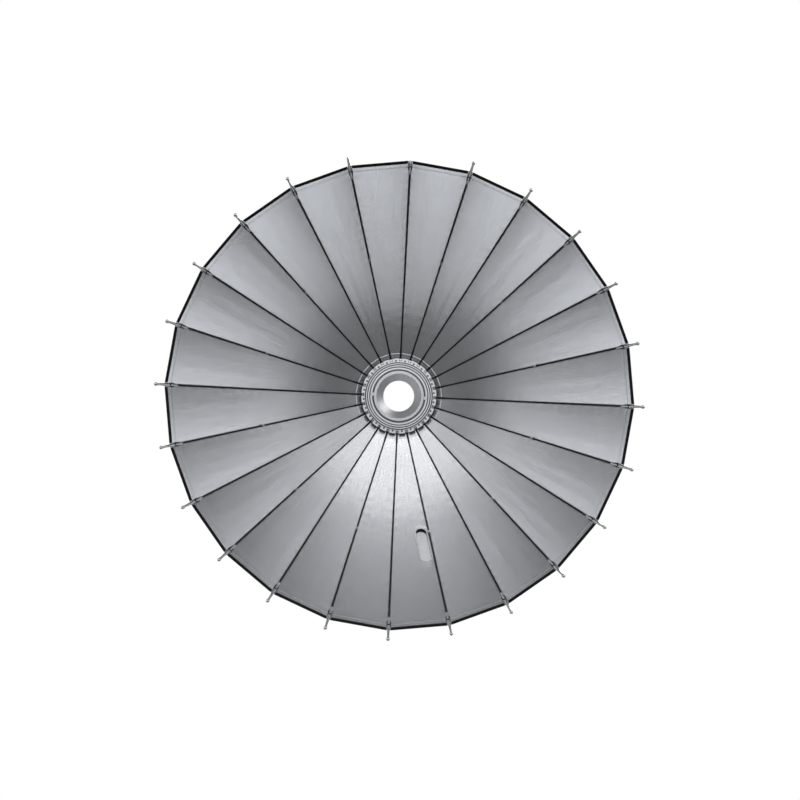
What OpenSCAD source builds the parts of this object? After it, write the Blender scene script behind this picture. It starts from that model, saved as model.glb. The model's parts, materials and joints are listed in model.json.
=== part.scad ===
// Deep parabolic umbrella reflector with 24 ribs, open at rest.
// Frame: the axis lies along Y and the bowl opens towards -Y. +Z is up, rib_01 points up,
// and the ribs count clockwise seen from the open side. The origin is the centre of the
// hub bore's rear end. Lengths are millimetres, angles are degrees.

/* [Canopy] */
// Focal length of the parabola that the ribs follow
focal = 150; // [145:1:155]
// Radius of the rim at the ribs
rim_r = 440; // [425:5:450]
// Thickness of the fabric with its backing
fabric_t = 1.2; // [0.8:0.1:1.2]
// Width of the rim binding along the fabric
binding_w = 6; // [5:1:8]
// Thickness of the rim binding
binding_t = 2; // [1.8:0.1:2.4]
// Outer radius of the inner hem
hem_r = 91; // [90:1:94]

/* [Ribs] */
// Half the thickness of a rib's square bar
bar_half = 1.9; // [1.7:0.1:1.9]
// Radius of the round spigot on each end of a rib's bar
spigot_r = 1.6; // [1.4:0.1:1.6]
// Radius of the ferrule on a rib's end
ferrule_r = 2.6; // [2.4:0.1:2.6]
// Radius of the ball on a rib's end
ball_r = 3.4; // [3:0.1:3.6]
// How far a ferrule stands out past the rim, to the centre of its ball
ferrule_out = 28; // [26:1:34]
// How far a ferrule reaches back inside the rim
ferrule_in = 30; // [30:1:36]
// Angle through which a rib folds forward
fold_angle = 45; // [40:1:45]

/* [Hub] */
// Radius of the through bore
bore_r = 33; // [32:0.5:33.5]
// Outer radius of the castellated crown
crown_r = 80; // [80:0.5:80.5]
// Radius of the circle of hinge pins
pin_circle_r = 76.5; // [76.5:0.1:76.7]
// Distance of the hinge pins in front of the bore's rear end
pin_depth = 40; // [40:0.5:41]
// Width of a rib slot in the crown
slot_w = 6.6; // [6.5:0.1:7]
// Length of a lever from its pin to the centre of its heel
heel_arm = 15; // [14.8:0.1:15]
// Radius of the two lock buttons' circle
button_circle_r = 55.5; // [55:0.1:55.6]

/* [Cable port] */
// Length of the port along the gore
port_len = 86; // [70:1:90]
// Width of the port
port_w = 23; // [18:1:24]

/* [Hidden] */
RIBS = 24;
STEP = 360 / RIBS;
function two(n) = n < 10 ? str("0", n) : str(n);
function rib_name(k) = str("rib_", two(k + 1));

$fn = 48;
TURN_FN = 120;

// Running clearances, on the radius.
run_gap = 0.05;
heel_gap = 0.3;

// The pin's centre in the plane of a rib, as [radius, y].
pin = [pin_circle_r, -pin_depth];
pin_r = 1.5;
pin_len = 12.4;

// A rib leaves its pin in a straight line as far as the end of its lever's socket, follows
// the parabola in circular arcs that meet at a common tangent, and ends in a straight
// stretch inside its ferrule.
socket_len = 24;
ARCS = 4;
function dip(r) = r * r / (4 * focal);
function slope(r) = atan(r / (2 * focal));
function ahead(a) = [cos(a), -sin(a)];
function out(a) = [sin(a), cos(a)];
arc_r0 = 99;
root_slope = slope(arc_r0);
arc_start = pin + socket_len * ahead(root_slope);
tip_slope = slope(rim_r - ferrule_in * cos(slope(rim_r)));
arc_r1 = 2 * focal * tan(tip_slope);
function station(i) = arc_r0 + i * (arc_r1 - arc_r0) / ARCS;
function chord(i) = norm([station(i + 1) - station(i), dip(station(i + 1)) - dip(station(i))]);
function turn(i) = slope(station(i + 1)) - slope(station(i));
function arc_radius(i) = chord(i) / (2 * sin(turn(i) / 2));
function knot(i) = i == 0 ? arc_start
    : knot(i - 1) + chord(i - 1) * ahead((slope(station(i - 1)) + slope(station(i))) / 2);
function arc_centre(i) = knot(i) - arc_radius(i) * out(slope(station(i)));

// The rib's line moved outwards by d, from radius r0 to s beyond the last arc, as points
// of a polygon with bends of a few degrees.
BENDS = 3;
function start_point(r0, d) = let (p = pin + d * out(root_slope))
    p + (r0 - p[0]) / cos(root_slope) * ahead(root_slope);
function rib_line(r0, d, s) = concat(
    [start_point(r0, d)],
    bar_line(d),
    [knot(ARCS) + d * out(tip_slope) + s * ahead(tip_slope)]
);
function bar_line(d) = concat(
    [for (i = [0:ARCS - 1]) for (j = [0:BENDS - 1])
        let (a = slope(station(i)) + turn(i) * j / BENDS)
        arc_centre(i) + (arc_radius(i) + d) * out(a)],
    [knot(ARCS) + d * out(tip_slope)]
);
function reversed(list) = [for (i = [len(list) - 1:-1:0]) list[i]];

// The fabric's inner face keeps this distance from the middle of the rods.
fabric_off = 3.3;
fabric_r0 = 82;
seam_gap = 0.6;

// Hub levels along the axis, all negative in front of the bore's rear end.
crown_front = -52;
plate_front = -55.5;
plate_back = -51.5;
chamber_r = 66.5;
crown_back = -28;
slot_back = -32;
slot_r_front = 73;
step_r = 72.3;
sleeve_r = 49;
lip_in_r = 46.8;
lip_out_r = 53;
lip_front = -57.5;
recess_r = 56.5;
neck_r = 51.95;
cover_back = -24;

// The press ring, whose groove holds the heels.
heel_r = 2.6;
heel_swing = heel_arm * sin(fold_angle / 2);
groove_mid = pin[1] - heel_swing;
groove_half = heel_r + heel_gap;
flange_t = 2.3;
press_front = groove_mid - groove_half - flange_t;
press_back = groove_mid + groove_half + flange_t;
press_r = 65;
groove_r = 58.4;
heel_rest = pin + heel_arm * [-cos(fold_angle / 2), -sin(fold_angle / 2)];

// Screws, buttons and pull rods.
screw_r = 1.5;
screw_head_r = 1.9;
screw_circle_r = 74.3;
screw_head_t = 1.4;
cover_screw_r = 2;
cover_screw_circle_r = 73;
COVER_SCREWS = 6;
bracket_hole_r = 2.1;
bracket_circle_r = 42;
bracket_hole_depth = 10;
button_angles = [272, 92];
button_head_r = 3.6;
button_head_t = 2.4;
button_stem_r = 2;
button_head_back = -55.9;
button_stem_back = -45;
button_well_r = 4.2;
button_well_back = -53;
pull_rod_r = 2.5;
pull_circle_r = 58.5;
PULL_RODS = 3;
collar_front = -22;
collar_back = -13;

lip_notches = [27, 67, 105, 153, 207, 293, 333];
lip_notch_w = 5;

// The cable port lies beside the twelfth rib and is parallel to it.
port_station_r = 306;
port_rib = 11;
port_off = 15.5;
port_turn = 5.3;

// Ferrules that stand out less: that of rib_01 ends at the rim, that of rib_24 has no ball.
short_ferrule = 1.5;
cut_ferrule = 25;

// ---- helpers ----

// Turns a profile of [radius, y] points about the Y axis.
module turned() rotate([-90, 0, 0]) rotate_extrude($fn = TURN_FN) children();
// Turns children from 12 o'clock to rib k's place, clockwise seen from the front.
module at_rib(k) rotate([0, STEP * k, 0]) children();
// Extrudes a profile of [radius, y] points along the tangent at 12 o'clock, t thick.
module across(t) rotate([0, -90, 0]) linear_extrude(height = t, center = true) children();
// Puts children's Z axis at a point of a rib, along the rib.
module along(p, a) translate([0, p[1], p[0]]) rotate([a, 0, 0]) children();
// A cylinder along +Y from y0 to y1, at radius r0 from the axis at 12 o'clock.
module post(r0, y0, y1, r) translate([0, y0, r0]) rotate([-90, 0, 0]) cylinder(r = r, h = y1 - y0);

// ---- hub ----

// The opening in which one lever turns, through both crown rings.
module rib_slot() across(slot_w) polygon([
    [groove_r, plate_back], [slot_r_front, plate_back], [slot_r_front, plate_front - 5],
    [crown_r + 2, plate_front - 5], [crown_r + 2, slot_back], [groove_r, slot_back]
]);

module pin_seat() translate([-pin_len / 2 - 0.1, pin[1], pin[0]]) rotate([0, 90, 0])
    cylinder(r = pin_r + run_gap, h = pin_len + 0.2);

module crown_cuts() {
    for (k = [0:RIBS - 1]) at_rib(k) {
        rib_slot();
        pin_seat();
    }
}

module hub_front_ring() color("gainsboro") difference() {
    turned() difference() {
        polygon([
            [lip_out_r, plate_back], [chamber_r, plate_back], [chamber_r, pin[1]], [crown_r, pin[1]],
            [crown_r, crown_front + 0.8], [crown_r - 0.8, crown_front], [step_r, crown_front],
            [step_r - 0.8, plate_front], [recess_r, plate_front], [recess_r, plate_front + 1.4],
            [lip_out_r, plate_front + 1.4]
        ]);
        for (g = [61.3, 66, 70.2]) translate([g, plate_front]) circle(r = 1.1, $fn = 24);
    }
    crown_cuts();
    for (k = [0:RIBS - 1]) at_rib(k + 0.5) {
        post(screw_circle_r, crown_front - 1, pin[1] + 1, screw_r + run_gap);
        post(screw_circle_r, crown_front - 1, crown_front + screw_head_t, screw_head_r + 0.1);
    }
    for (a = button_angles) rotate([0, a, 0])
        post(button_circle_r, plate_front - 1, plate_back + 1, button_stem_r + run_gap);
    button_wells();
}

module button_wells() for (a = button_angles) rotate([0, a, 0])
    post(button_circle_r, lip_front - 1, button_well_back, button_well_r);

module hub_rear_ring() color("silver") difference() {
    turned() polygon([
        [chamber_r, pin[1]], [crown_r, pin[1]], [crown_r, crown_back], [chamber_r, crown_back]
    ]);
    crown_cuts();
    for (k = [0:RIBS - 1]) at_rib(k + 0.5)
        post(screw_circle_r, pin[1] - 1, slot_back - 1, screw_r);
    for (k = [0:COVER_SCREWS - 1]) at_rib(4 * k + 2)
        post(cover_screw_circle_r, slot_back + 0.8, crown_back + 1, cover_screw_r);
}

module hinge_pins() color("dimgray") for (k = [0:RIBS - 1]) at_rib(k)
    translate([-pin_len / 2, pin[1], pin[0]]) rotate([0, 90, 0]) cylinder(r = pin_r, h = pin_len);

// A countersunk-flush cap screw between every two ribs.
module crown_screws() color("dimgray") for (k = [0:RIBS - 1]) at_rib(k + 0.5) difference() {
    union() {
        post(screw_circle_r, crown_front + 0.1, crown_front + screw_head_t, screw_head_r);
        post(screw_circle_r, crown_front + screw_head_t, slot_back - 1.5, screw_r);
    }
    post(screw_circle_r, crown_front - 1, crown_front + 1, 0.9);
}

// Tube with the through bore, and the funnel in front of it.
module hub_sleeve() color("silver") difference() {
    turned() polygon([
        [bore_r, 0], [sleeve_r, 0], [sleeve_r, plate_back], [lip_out_r, plate_back],
        [lip_out_r, plate_front + 1.5], [lip_in_r, plate_front + 1.5], [lip_in_r - 0.6, -53],
        [bore_r + 1.5, -36], [bore_r, -34]
    ]);
    for (k = [0:3]) rotate([0, 45 + 90 * k, 0])
        post(bracket_circle_r, -bracket_hole_depth, 1, bracket_hole_r);
    button_wells();
}

// Front lip with the notches of a bayonet.
module lip_ring() color("gainsboro") difference() {
    turned() polygon([
        [lip_in_r, plate_front + 1.5], [lip_out_r, plate_front + 1.5], [lip_out_r, lip_front + 0.6],
        [lip_out_r - 0.6, lip_front], [lip_in_r + 0.5, lip_front], [lip_in_r, lip_front + 0.5]
    ]);
    for (a = lip_notches) rotate([0, a, 0])
        translate([-lip_notch_w / 2, lip_front - 1, lip_in_r - 1]) cube([lip_notch_w, 2.6, 3.8]);
    button_wells();
}

module rear_cover() color("dimgray") difference() {
    turned() polygon([
        [sleeve_r, 0], [neck_r, 0], [neck_r, cover_back], [crown_r - 2, cover_back],
        [crown_r, cover_back - 2], [crown_r, crown_back], [sleeve_r, crown_back]
    ]);
    for (k = [0:COVER_SCREWS - 1]) at_rib(4 * k + 2)
        post(cover_screw_circle_r, crown_back - 1, 1, cover_screw_r + run_gap);
    for (k = [0:PULL_RODS - 1]) rotate([0, 120 * k, 0])
        translate([0, crown_back - 1, 0]) pull_rod_hole();
}

module pull_rod_hole() translate([0, 0, pull_circle_r]) rotate([-90, 0, 0])
    cylinder(r = pull_rod_r + run_gap, h = cover_back - crown_back + 2);

module cover_screws() color("black") for (k = [0:COVER_SCREWS - 1]) at_rib(4 * k + 2) difference() {
    union() {
        post(cover_screw_circle_r, slot_back + 1, cover_back, cover_screw_r);
        post(cover_screw_circle_r, cover_back, cover_back + 2.4, 3.5);
    }
    translate([0, cover_back + 1, cover_screw_circle_r]) rotate([-90, 0, 0])
        cylinder(r = 1.6, h = 2, $fn = 6);
}

// Cone behind the fabric, which the inner hem is drawn over.
clamp_gap = 0.25;
module fabric_clamp_ring() color("black") turned() polygon([
    for (r = [crown_r + 0.05, 88]) start_point(r, fabric_off + fabric_t + clamp_gap),
    [88, -36.2], [86, -33], [crown_r + 0.05, -31]
]);

// ---- moving parts of the hub ----

module press_ring() color("darkgray") difference() {
    turned() polygon([
        [sleeve_r + run_gap, press_front], [press_r, press_front], [press_r, press_front + flange_t],
        [groove_r, press_front + flange_t], [groove_r, press_back - flange_t],
        [press_r, press_back - flange_t], [press_r, press_back], [sleeve_r + run_gap, press_back]
    ]);
    for (a = button_angles) rotate([0, a, 0])
        post(button_circle_r, press_front - 1, press_back + 1, button_stem_r + 0.4);
}

module pull_rods() color("silver") for (k = [0:PULL_RODS - 1]) rotate([0, 120 * k, 0])
    post(pull_circle_r, press_back, collar_front, pull_rod_r);

module pull_collar() color("black") turned() polygon([
    [neck_r + run_gap, collar_front], [64, collar_front], [66, collar_front + 2],
    [64.6, (collar_front + collar_back) / 2], [66, collar_back - 2], [64, collar_back],
    [neck_r + run_gap, collar_back]
]);

module lock_button(a) rotate([0, a, 0]) {
    difference() {
        post(button_circle_r, button_head_back - button_head_t, button_head_back, button_head_r);
        post(button_circle_r, button_head_back - button_head_t - 1, button_head_back - 1.4, 1.7);
    }
    post(button_circle_r, button_head_back, button_stem_back, button_stem_r);
}
module lock_button_left() color("gainsboro") lock_button(button_angles[0]);
module lock_button_right() color("gainsboro") lock_button(button_angles[1]);

// A wire wound in a helix, as one closed tube.
spring_turns = 3;
wire_r = 0.3;
coil_r = 3;
module button_springs() color("silver") for (a = button_angles) rotate([0, a, 0]) {
    n = 12 * spring_turns;
    m = 6;
    rise = button_well_back - button_head_back - 2 * wire_r - 0.1;
    points = [for (i = [0:n]) for (j = [0:m - 1])
        let (t = 360 * spring_turns * i / n, q = 360 * j / m, r = coil_r + wire_r * cos(q))
        [r * cos(t), button_head_back + wire_r + 0.05 + rise * i / n + wire_r * sin(q),
            button_circle_r + r * sin(t)]];
    sides = [for (i = [0:n - 1]) for (j = [0:m - 1])
        [i * m + j, (i + 1) * m + j, (i + 1) * m + (j + 1) % m, i * m + (j + 1) % m]];
    ends = [[for (j = [0:m - 1]) j], [for (j = [m - 1:-1:0]) n * m + j]];
    polyhedron(points = points, faces = concat(sides, ends), convexity = 4);
}

// ---- ribs ----

lever_t = 5.4;
socket_half = 2.7;
arm_half = 1.5;

// Bell crank, cut from plate: pivot boss, arm with its heel in the press ring, and the rod's socket.
module lever() color("darkgray") difference() {
    across(lever_t) union() {
        translate(pin) circle(r = 3.9);
        translate(heel_rest) circle(r = heel_r);
        translate(pin) rotate(180 + fold_angle / 2) translate([0, -arm_half]) square([heel_arm, 2 * arm_half]);
        translate(pin) rotate(-root_slope) translate([0, -socket_half])
            square([socket_len - run_gap, 2 * socket_half]);
    }
    along(pin + 7.5 * ahead(root_slope), root_slope) cylinder(r = spigot_r + run_gap, h = socket_len);
    translate([-4, pin[1], pin[0]]) rotate([0, 90, 0]) cylinder(r = pin_r + run_gap, h = 8);
}

// Bent square bar with a round spigot at each end, one in the lever's socket and one in the ferrule.
module bar() color("black") {
    along(pin + 8.5 * ahead(root_slope), root_slope) cylinder(r = spigot_r, h = socket_len - 8);
    across(2 * bar_half) polygon(concat(bar_line(-bar_half), reversed(bar_line(bar_half))));
    along(knot(ARCS) - 0.5 * ahead(tip_slope), tip_slope) cylinder(r = spigot_r, h = 20.5);
}

// Turned ferrule with a ball that has a small flat on its end, or cut square where reach is short.
ball_flat = 0.97;
module ferrule(reach, ball) color("silver") along(knot(ARCS), tip_slope) rotate_extrude() intersection() {
    union() {
        polygon([
            [spigot_r + run_gap, run_gap], [2.4, run_gap], [ferrule_r, 2], [ferrule_r, ferrule_in + 1],
            [ferrule_r - 0.8 * reach / ferrule_out, ferrule_in + reach], [0, ferrule_in + reach],
            [0, 21], [spigot_r + run_gap, 21]
        ]);
        if (ball) translate([0, ferrule_in + reach]) circle(r = ball_r);
    }
    square([2 * ball_r, ferrule_in + reach + ball_flat * ball_r]);
}

module rib(k) at_rib(k) {
    lever();
    bar();
    if (k == 0) ferrule(short_ferrule, false);
    else if (k == RIBS - 1) ferrule(cut_ferrule, false);
    else ferrule(ferrule_out, true);
}

// ---- canopy ----

// The part of space between two ribs' planes, less a narrow seam.
module between_ribs(gap) translate([0, 0, gap]) rotate([-90, 0, 0]) translate([0, 0, -500])
    linear_extrude(height = 600) polygon([
        [0, 0], [700 * sin(STEP / 2), -700 * cos(STEP / 2)], [-700 * sin(STEP / 2), -700 * cos(STEP / 2)]
    ]);

// A flat-chorded strip of the bowl between two ribs, from d0 to d1 off the rib's line.
function mid_gore(list) = [for (p = list) [p[0] * cos(STEP / 2), p[1]]];
module strip(r0, d0, d1, s) across(rim_r) polygon(mid_gore(concat(
    rib_line(r0, d0, s), reversed(rib_line(r0, d1, s)))));

port_slope = slope(port_station_r);
port_centre = [port_station_r * cos(STEP / 2), pin[1] - dip(port_station_r) + dip(pin[0])];
// A stadium through the gore, beside the port's rib, grown by g on its outline.
module port_prism(g) translate([port_off - port_centre[0] * tan(STEP / 2), 0, 0])
    along(port_centre, port_slope) rotate([0, -port_turn, 0]) rotate([-90, 0, 0])
        linear_extrude(height = 40, center = true) union() {
            square([port_w + 2 * g, port_len - port_w], center = true);
            for (s = [-1, 1]) translate([0, s * (port_len - port_w) / 2]) circle(r = port_w / 2 + g);
        }

module gore() intersection() {
    strip(fabric_r0, fabric_off, fabric_off + fabric_t, ferrule_in - binding_w);
    between_ribs(seam_gap);
}
module gore_panels() color("silver") for (k = [0:RIBS - 1]) if (k != port_rib) at_rib(k + 0.5) gore();
module port_gore() color("silver") at_rib(port_rib + 0.5) difference() {
    gore();
    port_prism(0);
}

binding_gap = 4.5 / sin(STEP / 2);
module rim_binding() color("black") for (k = [0:RIBS - 1]) at_rib(k + 0.5) intersection() {
    across(rim_r) polygon(mid_gore([for (c = [[0, 0], [1, 0], [1, 1], [0, 1]])
        knot(ARCS) + (fabric_off - (binding_t - fabric_t) / 2 + binding_t * c[1]) * out(tip_slope)
            + (ferrule_in - binding_w * (1 - c[0])) * ahead(tip_slope)]));
    between_ribs(binding_gap);
}

// Band of webbing on the back of the fabric, round the hub.
module inner_hem() color("silver") for (k = [0:RIBS - 1]) at_rib(k + 0.5) intersection() {
    across(rim_r) polygon(mid_gore([for (c = [[0, 0], [1, 0], [1, 1], [0, 1]])
        let (p = start_point(c[0] == 0 ? 89.5 : hem_r + 3, fabric_off + fabric_t))
        p + 0.8 * c[1] * out(root_slope)]));
    between_ribs(seam_gap);
}

// Loop of elastic round each ferrule, sewn to the fabric's corner.
loop_len = 16;
loop_r = 3.2;
module corner_loops() color("dimgray") for (k = [0:RIBS - 1]) at_rib(k)
    along(knot(ARCS) + (ferrule_in - binding_w - loop_len - 1) * ahead(tip_slope), tip_slope) difference() {
        cylinder(r = loop_r, h = loop_len);
        translate([0, 0, -1]) cylinder(r = ferrule_r + 0.2, h = loop_len + 2);
    }

// Clip round the rod of every second rib, riveted to the fabric, in the middle of one bend's chord.
tie_arc = 2;
tie_slope = slope(station(tie_arc)) + turn(tie_arc) / 2;
tie_point = arc_centre(tie_arc) + arc_radius(tie_arc) * cos(turn(tie_arc) / BENDS / 2) * out(tie_slope);
module fabric_ties() color("dimgray") for (k = [1:2:RIBS - 1]) at_rib(k)
    along(tie_point - 2.5 * ahead(tie_slope), tie_slope) difference() {
        cylinder(r = 3.15, h = 5);
        translate([0, 0, -1]) cylinder(r = bar_half * sqrt(2) + 0.06, h = 7);
    }

// Ring of tape on the fabric round the port, and a flap of fabric behind it.
module port_edging() color("silver") at_rib(port_rib + 0.5) difference() {
    intersection() {
        strip(fabric_r0, fabric_off - 0.8, fabric_off, 0);
        port_prism(1.6);
    }
    port_prism(0);
}

module port_flap() color("silver") at_rib(port_rib + 0.5) intersection() {
    strip(fabric_r0, fabric_off + fabric_t, fabric_off + fabric_t + 0.8, 0);
    port_prism(2);
}

// ---- one line for each node ----

hub_front_ring();
hub_rear_ring();
hinge_pins();
crown_screws();
hub_sleeve();
lip_ring();
rear_cover();
cover_screws();
fabric_clamp_ring();
press_ring();
pull_rods();
pull_collar();
lock_button_left();
lock_button_right();
button_springs();
for (k = [0:RIBS - 1]) rib(k);
gore_panels();
port_gore();
rim_binding();
inner_hem();
corner_loops();
fabric_ties();
port_edging();
port_flap();
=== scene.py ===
"""Looks of a round, deep umbrella reflector with 24 ribs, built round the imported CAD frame.

The bowl opens towards -Y and rib 1 points up. Rib k stands at k * 15 degrees clockwise, seen from
the open side. Ribs, fabric and binding are made once in the plane of rib 1 and turned into place.
"""
import json
import math

import bpy
import numpy as np
from mathutils import Matrix, Vector
from mathutils.geometry import delaunay_2d_cdt


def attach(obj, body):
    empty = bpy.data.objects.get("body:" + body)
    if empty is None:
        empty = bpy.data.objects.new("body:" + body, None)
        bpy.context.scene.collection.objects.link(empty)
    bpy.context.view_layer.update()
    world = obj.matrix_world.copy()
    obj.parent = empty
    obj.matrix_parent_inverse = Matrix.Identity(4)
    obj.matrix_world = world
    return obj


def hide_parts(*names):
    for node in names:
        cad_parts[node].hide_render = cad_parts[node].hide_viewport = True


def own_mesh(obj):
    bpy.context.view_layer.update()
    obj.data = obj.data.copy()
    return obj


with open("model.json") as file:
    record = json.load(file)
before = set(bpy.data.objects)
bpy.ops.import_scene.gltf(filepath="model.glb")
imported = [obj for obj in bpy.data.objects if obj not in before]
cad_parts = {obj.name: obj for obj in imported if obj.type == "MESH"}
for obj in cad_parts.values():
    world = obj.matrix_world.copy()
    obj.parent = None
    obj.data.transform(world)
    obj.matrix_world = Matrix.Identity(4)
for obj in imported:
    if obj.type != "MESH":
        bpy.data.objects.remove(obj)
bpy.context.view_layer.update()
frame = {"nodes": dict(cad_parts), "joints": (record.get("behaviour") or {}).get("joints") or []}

# ---- driving dimensions, in metres ----
RIBS = 24
STEP = 2 * math.pi / RIBS
HALF = STEP / 2
FOCAL = 0.150
RIM_R = 0.440
SOCKET = 0.024          # straight stretch from the pin
ARC_R0 = 0.099          # radius of the parabola where the curved stretch starts
ARCS = 4
FERRULE_IN = 0.030      # ferrule inside the rim
FERRULE_OUT = 0.0265    # ferrule outside the rim, to the middle of its ball
CUT_OUT = 0.025         # the same on the rib whose ferrule has no ball
SHORT_OUT = 0.0015      # and on the rib that ends at the rim
ROD_R = 0.00185         # at the ferrule
ROD_HUB_R = 0.0014      # at the lever's socket
FERRULE_R = 0.0026
BALL_R = 0.0034
FABRIC_OFF = 0.0033     # fabric's inner face from the middle of the rods
FABRIC_T = 0.0009
FABRIC_R0 = 0.082
BINDING_W = 0.007
BINDING_T = 0.0024
BINDING_GAP = 0.0045    # from the rib's plane to the binding's end
RIM_HEM = 0.016         # width of the folded hem at the rim
HUB_HEM_R = 0.091       # radius of the hem round the hub
BACK_HEM = (0.0886, 0.094)  # radii of the webbing behind it
BANDS = (0.082, 0.110, 0.150, 0.200, 0.265, 0.345, 0.440)
TIE_EVERY = 2
TIE_R = 0.285
PORT_RIB = 11
PORT_OFF = 0.0155
PORT_R = 0.306
PORT_LEN = 0.086
PORT_W = 0.023

JOINT = {j["name"]: j for j in frame["joints"]}
PIN = JOINT["canopy_fold"]["pos_m"]
PIN_R, PIN_Y = PIN[2], PIN[1]
FOLD = math.radians(45)  # from open to folded


# ---- the line of a rib, in its own plane: radius, level along Y, heading ----

def rib_table():
    """Distance from the pin, radius, level and heading, every quarter of a millimetre."""
    tip = math.atan((RIM_R - FERRULE_IN * math.cos(math.atan(RIM_R / (2 * FOCAL)))) / (2 * FOCAL))
    stations = np.linspace(ARC_R0, 2 * FOCAL * math.tan(tip), ARCS + 1)
    headings = np.arctan(stations / (2 * FOCAL))
    chords = np.hypot(np.diff(stations), np.diff(stations ** 2) / (4 * FOCAL))
    turns = np.diff(headings)
    lengths = chords / (2 * np.sin(turns / 2)) * turns
    knots = np.concatenate([[0, SOCKET], SOCKET + np.cumsum(lengths)])
    knot_headings = np.concatenate([[headings[0]], headings])
    step = 0.00025
    s = np.arange(-0.020, knots[-1] + FERRULE_IN + 0.060, step)
    heading = np.interp(s, knots, knot_headings)
    middle = (heading[1:] + heading[:-1]) / 2
    r = np.concatenate([[0], np.cumsum(np.cos(middle) * step)])
    y = np.concatenate([[0], -np.cumsum(np.sin(middle) * step)])
    r += PIN_R - np.interp(0, s, r)
    y += PIN_Y - np.interp(0, s, y)
    return s, r, y, heading, knots[-1]


TABLE_S, TABLE_R, TABLE_Y, TABLE_H, S_FERRULE = rib_table()
S_RIM = S_FERRULE + FERRULE_IN


def rib_line(s):
    """Radius, level and heading at the distance s from the pin."""
    return (np.interp(s, TABLE_S, TABLE_R), np.interp(s, TABLE_S, TABLE_Y),
            np.interp(s, TABLE_S, TABLE_H))


def s_at_radius(r):
    """Distance from the pin at which the fabric's inner face has the radius r."""
    return float(np.interp(r, TABLE_R + FABRIC_OFF * np.sin(TABLE_H), TABLE_S))


S_START = s_at_radius(FABRIC_R0)
S_HUB_HEM = s_at_radius(HUB_HEM_R)
S_TIE = s_at_radius(TIE_R)
S_PORT = s_at_radius(PORT_R)
BAND_S = [s_at_radius(r) for r in BANDS[:-1]] + [S_RIM - 0.0006]


def smooth(x, lo, hi):
    t = np.clip((x - lo) / (hi - lo), 0, 1)
    return t * t * (3 - 2 * t)


# ---- the fabric's surface ----
# A point of the fabric round rib k is given by v and s: v runs from -1, in the middle of the
# gore before the rib, through 0 at the rib, to 1 in the middle of the next gore.

def half_width(s):
    """From the rib's plane to the middle of a gore."""
    r, _, h = rib_line(s)
    return (r + FABRIC_OFF * np.sin(h)) * math.sin(HALF)


def gore_shape(gore, u, s):
    """How far the gore stands out from the flat sheet between its two ribs. u is -1 and 1 at the ribs."""
    w = half_width(s)
    slack = smooth(s, S_START, S_START + 0.05) * (1 - smooth(s, S_RIM - 0.10, S_RIM - 0.004))
    rng = np.random.default_rng(100 + gore)
    phase = rng.uniform(0, 2 * math.pi, 8)
    amount = rng.uniform(0.5, 1.0, 4)
    edge = 1 - u ** 4
    along = s - S_START
    crease = amount[0] * np.cos(2.2 * math.pi * u + phase[0] + along * 7 * np.sin(phase[1]))
    crease += 0.7 * amount[1] * np.cos(3.7 * math.pi * u + phase[2] - along * 9 * np.cos(phase[3]))
    roll = amount[2] * np.cos(along / 0.085 + phase[4]) + 0.6 * amount[3] * np.cos(along / 0.04 + phase[5])
    calm = slack * smooth(w, 0.010, 0.040)
    return calm * edge * (0.00008 * crease + 0.00006 * roll)


def seam_shape(k, x, s):
    """Small puckers along the seam at rib k, and the dimple at its tie."""
    rng = np.random.default_rng(500 + k)
    phase = rng.uniform(0, 2 * math.pi, 2)
    near = np.exp(-(np.abs(x) / 0.011) ** 1.5) * (1 - np.exp(-(x / 0.003) ** 2))
    rows = np.cos(s / 0.0038 + 2 * np.sin(s / 0.05 + phase[0]) + np.sign(x) * phase[1])
    out = 0.00011 * near * rows * smooth(s, S_START + 0.02, S_START + 0.06)
    if k % TIE_EVERY == 1:
        ds = s - S_TIE
        out = out - 0.00012 * np.exp(-(x ** 2 + ds ** 2) / 0.010 ** 2)
    if k == PORT_RIB:
        out = out + port_shape(x, s)
    return out


def stadium_distance(x, s, length, width):
    """Distance from the outline of a stadium round the port's middle, negative inside it."""
    straight = length / 2 - width / 2
    ds = np.abs(s - S_PORT) - straight
    return np.hypot(x - PORT_OFF, np.maximum(ds, 0)) - width / 2


def port_shape(x, s):
    """The fabric dips where the port's edging pulls it, and wrinkles below the port."""
    d = stadium_distance(x, s, PORT_LEN, PORT_W)
    out = 0.0003 * np.exp(-(np.maximum(d, 0) / 0.006) ** 2)
    below = s - (S_PORT + PORT_LEN / 2)
    fold = np.cos(below / 0.0030 + 40 * (x - PORT_OFF)) * np.exp(-((below - 0.012) / 0.009) ** 2)
    return out + 0.0003 * fold * np.exp(-((x - PORT_OFF) / 0.014) ** 2)


def hem_step(s):
    """How far the folded hems stand in from the single cloth."""
    rim = smooth(s, S_RIM - RIM_HEM - 0.0006, S_RIM - RIM_HEM + 0.0006)
    hub = 1 - smooth(s, S_HUB_HEM - 0.0005, S_HUB_HEM + 0.0005)
    return 0.00045 * (rim + hub)


def fabric_points(k, v, s):
    """Points of the fabric's inner face round rib k, in that rib's own plane, as x, y, z."""
    v, s = np.asarray(v, float), np.asarray(s, float)
    side = np.where(v >= 0, 1.0, -1.0)
    u = v - side
    gore_a = np.where(side > 0, k, (k - 1) % RIBS)
    r, y, h = rib_line(s)
    rc = r + FABRIC_OFF * np.sin(h)
    yc = y + FABRIC_OFF * np.cos(h)
    out = np.zeros_like(v)
    for gore in np.unique(gore_a):
        here = gore_a == gore
        out[here] = gore_shape(int(gore), u[here], s[here])
    x_flat = v * half_width(s)
    out = out + seam_shape(k, x_flat, s) - hem_step(s)
    x = u * rc * math.sin(HALF)
    z = rc * math.cos(HALF) + out * np.sin(h)
    y = yc + out * np.cos(h)
    turn = side * HALF
    return np.stack([x * np.cos(turn) + z * np.sin(turn), y, z * np.cos(turn) - x * np.sin(turn)], -1)


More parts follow.
